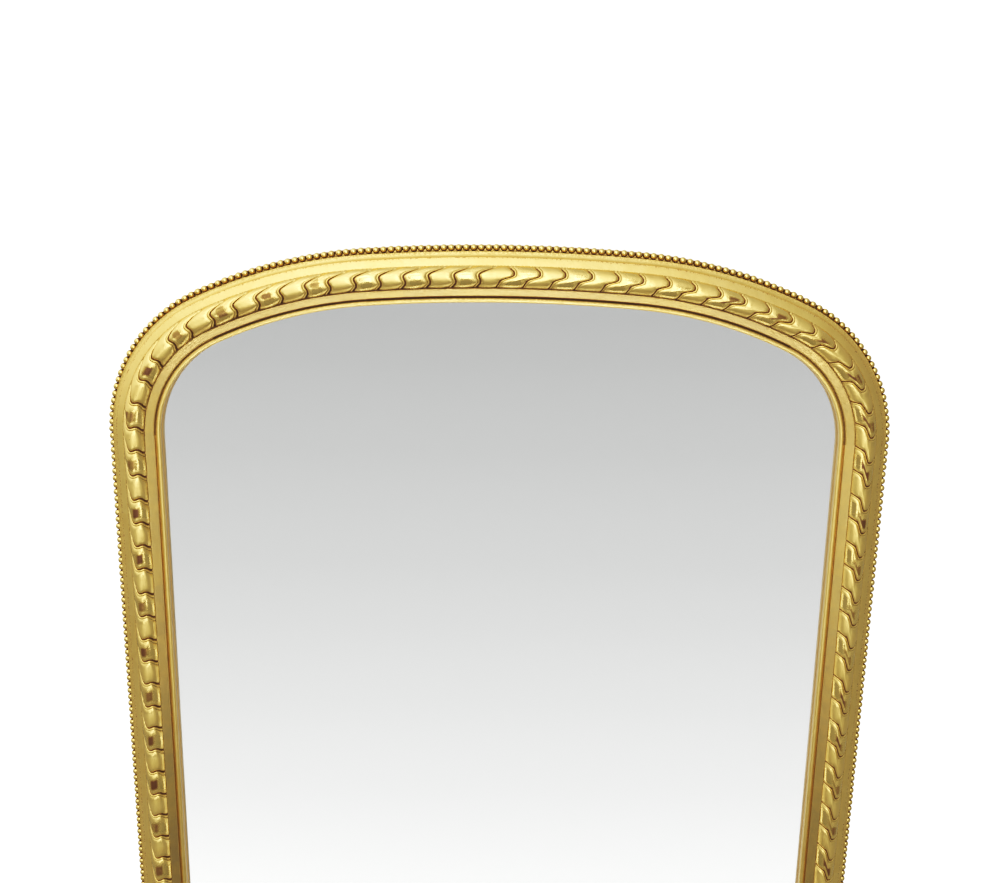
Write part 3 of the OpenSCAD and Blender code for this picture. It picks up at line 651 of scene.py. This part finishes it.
slope_w, slope_fall = 12.5, 5.5
quirk_w, quirk_d = 1, 3
sight_bead_w = 8
lip_h = 28.5
quirk_t = slope_t + slope_w
slope_end_h = face_h - slope_fall
sight_t = quirk_t + quirk_w + sight_bead_w
sight_bead_r = sight_bead_w / 2
sight_bead_h = slope_end_h - sight_bead_r
bead_mid_t = sight_t - sight_bead_r

sight_gilt, sight_shader, sight_leaf = gilt("matt gold leaf on the sight moulding", Leaf_length=0.083)
tree = sight_leaf.id_data
across = named(tree, "across")
slope = between(across, (quirk_t + 0.5) * mm, quirk_t * mm)
# The slope's leaf is a darker gold than the bead's, as painted shade on the slope.
join(sight_leaf, Leaf=tint(slope, (0.945, 0.735, 0.31, 1), (0.58, 0.445, 0.20, 1)), Sand=slope)
# The wall that drops from the bead to the plate is not gilded, only brushed with ochre, and the plate doubles it
wall = between(across, (sight_t - 0.9) * mm, (sight_t - 0.3) * mm)


def facing_back(tree):
    """How far each face looks to the wall."""
    return put("SeparateXYZ", _0=put("NewGeometry", tree=tree).outputs["Normal"]).outputs[1]


# The faint glow of the underside stands for the light that the thick plate carries in under the lip
under = calc("GREATER_THAN", facing_back(tree), 0.9)
join(sight_shader, Base_Color=tint(wall, sight_leaf.outputs["Color"], (0.86, 0.66, 0.33, 1)),
     Metallic=calc("SUBTRACT", sight_leaf.outputs["Metallic"], times(wall, 0.9), clamp=True),
     Emission_Color=(0.62, 0.48, 0.27, 1), Emission_Strength=times(under, 0.4))
# The bead's outer flank, under the edge of the slope, is painted dark as painted shade.
sight_bead = [(bead_mid_t + sight_bead_r * math.sin(a), sight_bead_h + sight_bead_r * math.cos(a), 0,
               0.8 if a < -1.1 else np.clip(0.22 - 0.55 * a, 0, 0.75), 0.3)
              for a in np.radians(np.linspace(-86, 88, 14))]
sight_section = eased([
    (slope_t - twist_lap, face_h, 0, 1, 0), (slope_t, face_h - 0.1, 0, 1, 0), (slope_t + 1.1, face_h - 0.55, 0, 0.3, 0),
    (slope_t + 6, face_h - 2.64, 0, 0, 0.1), (quirk_t - 2.5, slope_end_h + 1.1, 0, 0, 0.1),
    (quirk_t - 1.3, slope_end_h + 0.57, 0, 0.8, 0), (quirk_t, slope_end_h, 0.5, 1, 0),
    (quirk_t, slope_end_h - quirk_d, 0, 1, 0), *sight_bead, (sight_t - 0.2, lip_h, 0, 0, 0), (rebate_t, lip_h, 0, 1, 0),
    (rebate_t, frame_thick, 0, 1, 0), (slope_t - twist_lap, frame_thick, 0, 1, 0),
])
# Painted shade in the quirk, at the slope's edges and on the bead's outer flank, heaviest at the head and light down
# the sides and along the bottom
quirk_shade_at = {"crown": 1, "haunch": 0.9, "shoulder": 0.6, "side": 0.2, "bottom": 0.2}
plant_lengths("sight_moulding", lambda place: sight_section * (1, 1, quirk_shade_at[place], 1), sight_gilt)

# Beads
# Composition pressed in moulds as lengths of beads on a thin strip, and glued in the corner beside the moulding.
# The beads are never quite alike. The gaps between them, their inner side, the strip behind them and their undersides
# are painted dark, as painted shade.

bead_r = 5.2
bead_h = 16
bead_pitch = 11.2
strip_t, strip_top_h = 6.2, 15

bead_gilt, *_ = gilt("gold leaf on the beads", relief=0.0003, coat=0.1, Burnish=0.6)
least_w, least_l, most_l, most_shift = 0.955, 1.02, 1.08, 0.18


def bead_shares(place):
    """Where the beads' middles lie, as shares of a run. The corner beads belong to the bottom."""
    count = round(run_length(place, bead_r) / bead_pitch)
    if place == "bottom":
        return np.arange(count + 1) / count
    if place == "side":
        return 1 - np.arange(1, count + 1) / (count + 0.5)
    return (np.arange(count) + 0.5) / count


def lathe(profile, segments):
    """Points and faces of a turned shape about the y axis, from (radius, y) pairs, with flat ends."""
    turn = np.linspace(0, 2 * np.pi, segments, endpoint=False)
    rows = [np.stack([r * np.cos(turn), np.full(segments, y), r * np.sin(turn)], -1) for r, y in profile]
    return np.concatenate(rows), tube_faces(len(rows), segments)


def bead_shape(segments=20, rings=13):
    """A ball with its poles along the row: directions as (out, front, along), and the faces."""
    from_pole = np.linspace(0, np.pi, rings + 1)[1:-1]
    ball, tube = lathe(zip(np.sin(from_pole), np.cos(from_pole)), segments)
    ball = np.concatenate([ball[:, [0, 2, 1]], [[0, 0, 1], [0, 0, -1]]])
    faces = tube[:-2]
    top, low, last = len(ball) - 2, len(ball) - 1, (rings - 2) * segments
    for k in range(segments):
        nxt = (k + 1) % segments
        faces += [[top, k, nxt], [low, last + nxt, last + k]]
    return ball, faces


def gathered(shapes):
    """The points and faces of several shapes together."""
    starts = np.cumsum([0] + [len(points) for points, _ in shapes]).tolist()
    faces = [[start + v for v in face] for start, (_, own) in zip(starts, shapes) for face in own]
    return np.concatenate([points for points, _ in shapes]), faces


ball, ball_faces = bead_shape()
# Painted shade in the gaps between the beads and on their inner side
gap_shade = clipped((np.abs(ball[:, 2]) - 0.56) / 0.3)
behind = clipped((-0.2 - ball[:, 0] * 0.75 - ball[:, 1] * 0.5) / 0.6) * 0.6
rubbed = clipped((ball[:, 1] + ball[:, 0]) / 1.4)
strip_section = eased([(strip_t, bead_ledge_h, 0, 1, 0), (strip_t, strip_top_h, 0.5, 0.4, 0),
                       (bead_wall_t, strip_top_h, 0, 0.6, 0), (bead_wall_t, bead_ledge_h, 0, 1, 0)])
for run_number, (run_name, place, left) in enumerate(runs):
    node = "beads_" + run_name
    hand = np.random.default_rng(40 + run_number)
    *strip, values = swept(place, left, strip_section, 12)
    shapes, worn = [strip], [[values[key] for key in ("along", "recess", "wear")]]
    for share in bead_shares(place):
        here = np.array(on_run(place, share, bead_r))
        ahead = np.array(on_run(place, min(share + 0.002, 1.002), bead_r)) - here
        ahead /= np.linalg.norm(ahead)
        out = np.array([ahead[1], -ahead[0]])
        if out @ (here - (0, 700)) < 0:
            out = -out
        size = bead_r * np.array([hand.uniform(least_w, 1), hand.uniform(least_w, 1), hand.uniform(least_l, most_l)])
        nudge = hand.uniform(-most_shift, most_shift)
        if place == "bottom" and share in (0, 1):
            size[2], nudge = bead_r, 0
        offset = ball * size
        px, pz = here[:, None] + np.outer(out, offset[:, 0] - (bead_r + 0.01 - size[0])) + np.outer(
            ahead, offset[:, 2] + nudge)
        # The underside of each bead is painted dark, as painted shadow
        below = clipped(((here[1] - pz) / bead_r - 0.3) / 0.6) * 0.6
        shapes.append((stand_up(-px if left else px, bead_h + offset[:, 1], pz), ball_faces))
        worn.append((np.full(len(ball), run_along(place, left, share, bead_r) * mm),
                     np.maximum(np.maximum(gap_shade, below), behind), rubbed * hand.uniform(0.1, 0.9)))
    values = dict(zip(("along", "recess", "wear"), map(np.concatenate, zip(*worn))))
    mesh = mesh_of(node, *gathered(shapes), values)
    finish_piece("gilt_" + node, mesh, bead_gilt, [node], sharp=60)

# Mirror plate
# Clear plate glass with its edge eased, silvered behind. The silver is covered with a dull red backing paint.

glass_t = 76.4
glass_front_h, glass_back_h = 28.5, 23.5
silver_air = 0.02
arris = 0.4


def round_the_frame(t, step=12):
    """The whole outline, t in from the beads' reach, from the bottom left corner and round."""
    line = [np.array([[-(half_w - t), bead_foot + t], [half_w - t, bead_foot + t]])]
    for _, place, left in runs[-2::-1]:
        count = 2 if place == "side" else max(3, int(run_length(place, 0) / step))
        share = np.linspace(0, 1, count)
        x, z = on_run(place, 1 - share if (place == "side") != left else share, t)
        line.append(np.stack([-x if left else x, z], -1)[1:])
    return np.concatenate(line)[:-1]


def arched_plate(name, loops):
    """A flat plate with the frame's outline, from loops of (t, h)."""
    rings = [round_the_frame(t) for t, _ in loops]
    points = np.concatenate([stand_up(ring[:, 0], np.full(len(ring), h), ring[:, 1])
                             for ring, (_, h) in zip(rings, loops)])
    return mesh_of(name, points, tube_faces(len(loops), len(rings[0])))


glass, _, shader = new_material("clear plate glass")
join(shader, Base_Color=(0.994, 1, 0.997, 1), Roughness=0, IOR=1.52, Transmission_Weight=1)
back_h = glass_back_h + silver_air
finish_piece("plate_glass", arched_plate("plate_glass", [
    (glass_t + arris, glass_front_h), (glass_t, glass_front_h - arris), (glass_t, back_h + arris),
    (glass_t + arris, back_h)]), glass, ["mirror_glass"], sharp=30)

silver, tree, shader = new_material("silver with its backing paint")
at_back = calc("GREATER_THAN", facing_back(tree), 0.5)
streak = noise(stretched(object_place(tree), (60, 60, 6)), 1, 3)
paint = tint(streak, (0.16, 0.06, 0.04, 1), (0.22, 0.09, 0.06, 1))
join(shader, Base_Color=tint(at_back, (0.95, 0.95, 0.945, 1), paint), Metallic=calc("SUBTRACT", 1, at_back),
     Roughness=times(at_back, 0.6))
dress("silvering", silver)

# Setting blocks and glued blocks
# Two slips of pine carry the plate's bottom edge, and three-cornered lengths of pine, glued in the angle of the
# rebate, hold it from behind.

dress("setting_blocks", wood_of("pine slip", turn=(0, math.radians(90), 0), Ring=0.0025))
dress("glued_blocks", wood_of("pine block", turn=(0, math.radians(20), 0), Ring=0.0028))

# Backboards
# Six upright planks of rough-sawn pine, cut to the curve of the frame and laid edge to edge in the step round the
# back. The saw has left fine ridges across them, and the wood has gone brown with age.

board_t, board_front_h, board_back_h = 66.4, 9, 1
board_count, board_gap = 6, 1
board_span = 2 * (half_w - board_t)
board_w = (board_span - (board_count - 1) * board_gap) / board_count
board_step = board_w + board_gap
board_arris = 0.7


def drawn_out(shape, faces, way):
    """Draws faces out of a shape, and leaves the first ones where they were."""
    drawn = bmesh.ops.extrude_face_region(shape, geom=faces)["geom"]
    bmesh.ops.translate(shape, vec=way, verts=[v for v in drawn if isinstance(v, bmesh.types.BMVert)])


curve = round_the_frame(board_t, 6)
curve = curve[curve[:, 1] > bead_foot + board_t + 1]
curve = curve[np.argsort(curve[:, 0])]
for number in range(board_count):
    shade = np.random.default_rng(70 + number)
    tone = shade.uniform(0.82, 1.08)
    board_wood, tree, shader = new_material(f"sawn pine board {number + 1}")
    place = put("Mapping", Vector=object_place(tree), Location=(
        shade.uniform(-1, 1), shade.uniform(0.4, 0.9) * 0.05, shade.uniform(0, 3))).outputs[0]
    bare = use(pine_grain, Grain=place, Heart=(shade.uniform(-0.4, 0.4), shade.uniform(0.03, 0.12), 0),
               Ring=shade.uniform(0.003, 0.0048), Age=0.4, Early_wood=(0.40 * tone, 0.245 * tone, 0.12 * tone, 1),
               Late_wood=(0.22 * tone, 0.11 * tone, 0.045 * tone, 1)).outputs
    saw = put("TexWave", {"bands_direction": "Z"}, Vector=place, Scale=95, Distortion=2.5, Detail=2,
              Detail_Scale=0.6).outputs[1]
    dirt = between(noise(place, 9, 4, 0.65), 0.45, 0.85, 0, 0.4)
    join(shader, Base_Color=tint(dirt, bare["Color"], (0.32, 0.26, 0.22, 1), "MULTIPLY"), Roughness=0.82,
         Normal=bump(plus(times(saw, 0.5), bare["Height"]), 0.0004))

    low_x = number * board_step - board_span / 2
    high_x = low_x + board_w
    inside = curve[(curve[:, 0] > low_x + 0.5) & (curve[:, 0] < high_x - 0.5)]
    low_end, high_end = ((x, spring_z if board_span / 2 - abs(x) < 0.01 else np.interp(x, *curve.T))
                         for x in (low_x, high_x))
    outline = [(low_x, bead_foot + board_t), low_end, *inside, high_end, (high_x, bead_foot + board_t)]
    board = bmesh.new()
    front = board.faces.new([board.verts.new((x * mm, -board_front_h * mm, z * mm)) for x, z in outline])
    drawn_out(board, [front], (0, (board_front_h - board_back_h) * mm, 0))
    bmesh.ops.recalc_face_normals(board, faces=board.faces)
    rim = [e for e in board.edges if e.calc_face_angle(0) > 0.8]
    bmesh.ops.bevel(board, geom=rim, offset=board_arris * mm, segments=2, profile=0.6, affect="EDGES",
                    clamp_overlap=True)
    name = f"backboard_{number + 1}"
    mesh = bpy.data.meshes.new(name)
    board.to_mesh(mesh)
    board.free()
    finish_piece("pine_" + name, mesh, board_wood, [name])

# Backboard nails
# Cut iron nails with round hammered heads, driven through the boards into the step. The heads have rusted a little.

nail_t = 70.4
nail_r, nail_head_r, nail_head_h, nail_l = 1, 2.2, 0.8, 16

iron, tree, shader = new_material("rusted iron")
place = object_place(tree)
rust = between(noise(place, 900, 4, 0.65), 0.38, 0.62)
join(shader, Base_Color=tint(rust, (0.055, 0.05, 0.048, 1), (0.15, 0.055, 0.022, 1)),
     Metallic=calc("SUBTRACT", 0.85, times(rust, 0.85)), Roughness=between(rust, 0, 1, 0.48, 0.9),
     Normal=bump(noise(place, 700, 3), 0.0003))


def nail_places():
    """Two nails low in each board, three up each side and five round each half of the arch."""
    z = bead_foot + nail_t
    places = [((i - (board_count - 1) / 2) * board_step + side * board_w / 4, z)
              for i in range(board_count) for side in (-1, 1)]
    arch = sum(half_length(place, nail_t) for place in down_from_crown[:3])
    for side in (-1, 1):
        places += [(side * (half_w - nail_t), z + share * (spring_z - z)) for share in (0.2, 0.5, 0.8)]
        up_the_arch = np.array([0.12, 0.3, 0.5, 0.68, 0.86])
        places += zip(*on_line(side * (1 - up_the_arch) * arch, nail_t, nail_t))
    return places


nail_profile = [(0.35, -nail_l), (nail_r, -nail_l + 3), (nail_r, 0.0), (nail_head_r * 0.92, 0.0),
                (nail_head_r, 0.22), (nail_head_r * 0.86, nail_head_h * 0.72), (nail_head_r * 0.45, nail_head_h)]
nail_points, nail_faces = lathe(nail_profile, 14)
hand = np.random.default_rng(12)
nails = []
for x, z in nail_places():
    dents = 1 + 0.05 * hand.normal(size=(len(nail_points), 1)) * (np.abs(nail_points[:, 1:2]) < 1)
    nails.append(((nail_points * np.clip(dents, 0.88, 1) + (x, -board_back_h, z)) * mm, nail_faces))
finish_piece("iron_backboard_nails", mesh_of("nails", *gathered(nails)), iron, ["backboard_nails"],
             sharp=50)

# Hangers
# A strip of brass rolled into an eye at its top end and screwed flat to each stile, and a ring of drawn brass wire
# that swings in the eye. Steel screws with slotted heads sit in countersinks. The brass has tarnished brown.

hanger_x = 566.05
ring_axis_z = spring_z - 120
strap_w, strap_l, strap_thick = 20, 72, 1.6
eye_axis_y, eye_mid_r = 3.95, 2.85
screw_drop, screw_spacing = 18, 22
screw_head_r, screw_r, screw_l = 3.6, 2, 16
slot_w, slot_d = 1.0, 0.7

brass, tree, shader = new_material("tarnished brass")
place = object_place(tree)
tarnish = between(noise(place, 120, 5, 0.65), 0.35, 0.68)
scratch = noise(stretched(place, (2500, 2500, 160)), 1)
join(shader, Base_Color=tint(tarnish, (0.40, 0.28, 0.125, 1), (0.14, 0.085, 0.04, 1)), Metallic=1,
     Roughness=between(tarnish, 0, 1, 0.26, 0.52), Normal=bump(plus(scratch, times(tarnish, 0.6)), 0.00005))

steel, tree, shader = new_material("dull steel")
worn = noise(object_place(tree), 600, 3, 0.6)
join(shader, Base_Color=tint(between(worn, 0.4, 0.7), (0.36, 0.35, 0.34, 1), (0.16, 0.13, 0.11, 1)), Metallic=0.95,
     Roughness=between(worn, 0.3, 0.7, 0.33, 0.55), Normal=bump(worn, 0.00006))


def strap_shape():
    """The strip's points and faces, up the stile and round the ring's bar."""
    half_t, half = strap_thick / 2, strap_w / 2
    line = [(half_t, -strap_l), (half_t, -strap_l / 2), (half_t, -9), (half_t, -4), (half_t + 0.12, -1.8)]
    for a in np.radians(np.arange(0, 301, 12)):
        line.append((eye_axis_y - eye_mid_r * math.cos(a), eye_mid_r * math.sin(a)))
    line = np.array(line)
    ahead = np.gradient(line, axis=0)
    ahead /= np.linalg.norm(ahead, axis=1)[:, None]
    side = np.stack([ahead[:, 1], -ahead[:, 0]], -1)
    section = eased([(-half, -half_t, 0.5), (half, -half_t, 0.5), (half, half_t, 0.5), (-half, half_t, 0.5)])
    yz = line[:, None] + side[:, None] * section[None, :, 1:2]
    narrow = np.ones((len(line), 1))
    narrow[0] = 0.9
    points = np.stack([section[:, 0] * narrow, yz[..., 0], yz[..., 1]], -1).reshape(-1, 3)
    return points, tube_faces(len(line), len(section))


def screw_shape(turn):
    """A countersunk screw, with its head's slot cut at an angle."""
    head_y = strap_thick + 0.1
    profile = [(0.4, -screw_l), (screw_r, -screw_l + 3), (screw_r, 0), (screw_head_r, strap_thick - 0.15),
               (screw_head_r, head_y - 0.08), (screw_head_r - 0.15, head_y)]
    points, faces = lathe(profile, 28)
    screw = bmesh.new()
    corners = [screw.verts.new(p) for p in points]
    for face in faces:
        screw.faces.new([corners[v] for v in face])
    for offset in (-slot_w / 2, slot_w / 2):
        saw_off(screw, (offset, 0, 0), (1, 0, 0), dist=1e-6)
    slot_top = [f for f in screw.faces if all(v.co.y > head_y - 1e-4 for v in f.verts)
                and abs(f.calc_center_median().x) < slot_w / 2 - 1e-3]
    drawn_out(screw, slot_top, (0, -slot_d, 0))
    bmesh.ops.delete(screw, geom=slot_top, context="FACES")
    screw.transform(Matrix.Rotation(turn, 4, "Y"))
    screw.verts.index_update()
    points = np.array([v.co for v in screw.verts])
    faces = [[v.index for v in f.verts] for f in screw.faces]
    screw.free()
    return points, faces


strap_points, strap_faces = strap_shape()
hand = np.random.default_rng(31)
screws = []
for side, side_name in ((-1, "left"), (1, "right")):
    at = np.array([side * hanger_x, 0, ring_axis_z])
    mesh = mesh_of("strap", (strap_points + at) * mm, strap_faces)
    finish_piece(f"brass_{side_name}_strap", mesh, brass, [f"{side_name}_hanger_strap"], sharp=45)
    dress(f"{side_name}_hanging_ring", brass)
    for number in range(3):
        points, faces = screw_shape(hand.uniform(0, math.pi))
        screws.append(((points + at - (0, 0, screw_drop + number * screw_spacing)) * mm, faces))
finish_piece("steel_hanger_screws", mesh_of("screws", *gathered(screws)), steel, ["hanger_screws"],
             sharp=40)

# Floor and light
# A pale floor and a white room. A soft light hangs high in front of the mirror, and others are kept to the gilding.
# The floor glows, brightest near the mirror and fading away from it, as the plate shows: a painted pool of light.

floor_half = 30.0
floor = new_object("floor", bpy.data.meshes.new("floor"))
floor.data.from_pydata([(x * floor_half, y * floor_half, 0) for x, y in ((-1, -1), (1, -1), (1, 1), (-1, 1))], [],
                       [[0, 1, 2, 3]])
pale, tree, shader = new_material("pale floor")
away = times(put("SeparateXYZ", _0=object_place(tree)).outputs[1], -1)
# The painted pool of light: the floor's glow falls off with distance in front of the mirror
floor_glow = put("ValToRGB", Fac=calc("DIVIDE", away, 16, clamp=True))
glow_stops = [(0, 1), (0.035, 0.991), (0.0488, 0.752), (0.0544, 0.713), (0.0794, 0.546), (0.1125, 0.435),
              (0.1562, 0.349), (0.2062, 0.292), (0.275, 0.259), (0.3625, 0.221), (0.5, 0.195), (0.675, 0.166),
              (0.8063, 0.158), (1, 0.146)]
for position, level in glow_stops[1:-1]:
    floor_glow.color_ramp.elements.new(position)
for element, (position, level) in zip(floor_glow.color_ramp.elements, glow_stops):
    element.position = position
    element.color = (level, level, level, 1)
join(shader, Base_Color=(0.42, 0.42, 0.42, 1), Roughness=1, Specular_IOR_Level=0, Emission_Color=floor_glow.outputs[0],
     Emission_Strength=1)
floor.data.materials.append(pale)

world = bpy.data.worlds.new("white room")
world.use_nodes = True
scene.world = world
way = put("TexCoord", tree=world.node_tree).outputs["Generated"]
parts = put("SeparateXYZ", _0=way).outputs
room = plus(between(parts[2], 0, 1, 0.27, 0.40), between(parts[0], 0.9, -0.9, 0, 0.2))
for centre, near, far, level in (((-0.17, -0.65, 0.74), 0.97, 0.70, 0.30), ((-0.74, -0.35, 0.57), 0.95, 0.5, 0.26),
                                 ((-0.95, 0.30, 0.0), 0.9, 0.2, 0.12)):
    room = plus(room, between(vector_calc("DOT_PRODUCT", way, centre, out=1), far, near, 0, level))
backdrop = between(parts[1], 0.72, 0.82)
join(world.node_tree.nodes["Background"], Color=tint(backdrop, room, (1.05, 1.05, 1.05, 1)))


def soft_light(name, place, aim, size, radiance):
    lamp = bpy.data.lights.new(name, "AREA")
    lamp.shape = "RECTANGLE"
    lamp.size, lamp.size_y = size
    lamp.energy = radiance * math.pi * size[0] * size[1]
    holder = new_object(name, lamp)
    holder.location = place
    holder.rotation_euler = (Vector(aim) - Vector(place)).to_track_quat("-Z", "Y").to_euler()
    holder.visible_camera = False
    return holder


soft_light("overhead soft light", (-0.45, -2.3, 3.5), (0, 0, 1.5), (2.0, 1.0), 1.1)
window = soft_light("tall soft light", (0, -3.2, 1.9), (0, 0, 1.7), (1.5, 2.1), 1.85)
board = soft_light("white board on the floor", (0, -1.4, 0.02), (0, 0, 1.8), (1.0, 0.8), 1.0)
board.data.spread = math.radians(56)
left_low, right_low = (soft_light(f"low soft light {side}", (x, -3.0, 0.55), (0, 0, 1.1), (0.8, 1.1), 1.7)
                       for side, x in (("left", -1.1), ("right", 1.1)))
# The tall light shines on the gilding alone, the low ones on the twist, the board on the sight moulding, and the
# floor's glow on all the rest.
for lamp, starts in ((window, "gilt_"), (left_low, "gilt_twist"), (right_low, "gilt_twist"), (board, "gilt_sight"),
                     (floor, "")):
    shone_on = bpy.data.collections.new(lamp.name + " shines on")
    for piece in bpy.data.objects:
        if piece.name.startswith(starts) and not (lamp == floor and piece.name.startswith("gilt_")):
            shone_on.objects.link(piece)
    lamp.light_linking.receiver_collection = shone_on

# Camera
# It stands at eye level, a step and a half in front of the mirror and a little to the left, and looks slightly down.

eye = Vector((-0.0185, -1.520, 1.6827))
look_down, lean_left, look_left = 0.2168, -0.0163, -0.0114
right = Vector((math.cos(look_left), math.sin(look_left), 0))
ahead = Vector((-math.cos(look_down) * math.sin(look_left), math.cos(look_down) * math.cos(look_left),
                -math.sin(look_down)))
up = right.cross(ahead)
camera = new_object("camera", bpy.data.cameras.new("camera"))
camera.data.lens = 36
camera.data.sensor_width = 36
turned = Matrix((right * math.cos(lean_left) - up * math.sin(lean_left),
                 right * math.sin(lean_left) + up * math.cos(lean_left), -ahead)).transposed()
camera.matrix_world = Matrix.Translation(eye) @ turned.to_4x4()
scene.camera = camera
# The tone curve of a camera: dark tones fall off, and bright ones roll over gently towards white
view = scene.view_settings
view.view_transform = "Standard"
view.use_curve_mapping = True
tone = view.curve_mapping.curves[3]
for dark, shown in ((0.088, 0.058), (0.19, 0.20), (0.374, 0.49), (0.665, 0.80), (0.89, 0.94)):
    tone.points.new(dark, shown)
view.curve_mapping.update()
